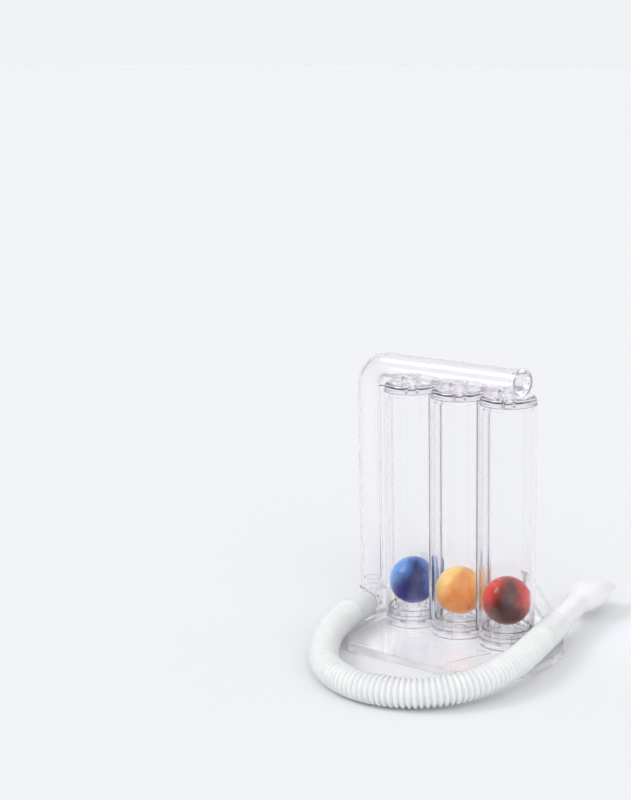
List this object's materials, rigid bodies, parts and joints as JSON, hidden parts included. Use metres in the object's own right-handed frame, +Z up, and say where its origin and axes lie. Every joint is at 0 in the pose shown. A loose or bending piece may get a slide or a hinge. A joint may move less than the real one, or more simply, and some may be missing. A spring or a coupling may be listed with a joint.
{
  "type": "incentive spirometer",
  "caption": "Clear breathing exerciser: ball columns in a row on a thin base plate, joined by an air channel to a corrugated hose with a mouthpiece.",
  "frame": {"origin": "on the table, under the axis of the middle column", "axes": "+Z up along the columns, +X along the row of columns away from the air channel, +Y to the back"},
  "size_m": [0.1337, 0.1922, 0.1454],
  "materials": {
    "clear_plastic": "clear moulded polystyrene",
    "milky_hose": "milky flexible polyethylene",
    "white_mouthpiece": "smooth white plastic",
    "ball_blue": "polished coloured plastic",
    "ball_yellow": "polished coloured plastic",
    "ball_red": "polished coloured plastic"
  },
  "bodies": {
    "housing": {"column_block": "clear_plastic", "air_channel": "clear_plastic", "manifold_end_cap": "clear_plastic", "hose_port": "clear_plastic", "brace_left": "clear_plastic", "brace_right": "clear_plastic", "base_plate": "clear_plastic", "top_cap_left": "clear_plastic", "top_cap_middle": "clear_plastic", "top_cap_right": "clear_plastic", "bottom_cap_left": "clear_plastic", "bottom_cap_middle": "clear_plastic", "bottom_cap_right": "clear_plastic", "ball_seat_left": "clear_plastic", "ball_seat_middle": "clear_plastic", "ball_seat_right": "clear_plastic", "cuff_unit_end": "milky_hose", "hose": "milky_hose", "cuff_mouth_end": "milky_hose"},
    "blue": {"ball_blue": "ball_blue"},
    "yellow": {"ball_yellow": "ball_yellow"},
    "red": {"ball_red": "ball_red"},
    "mouthpiece": {"mouthpiece": "white_mouthpiece"}
  },
  "joints": [
    {"name": "blue_rise", "type": "slide", "parent": "housing", "child": "blue", "axis": [0, 0, 1], "range_m": [0, 0.0885]},
    {"name": "yellow_rise", "type": "slide", "parent": "housing", "child": "yellow", "axis": [0, 0, 1], "range_m": [0, 0.0885]},
    {"name": "red_rise", "type": "slide", "parent": "housing", "child": "red", "axis": [0, 0, 1], "range_m": [0, 0.0885]},
    {"name": "mouthpiece_pull", "type": "slide", "parent": "housing", "child": "mouthpiece", "axis": [-0.2264, 0.974, 0], "range_m": [0, 0.02]}
  ]
}
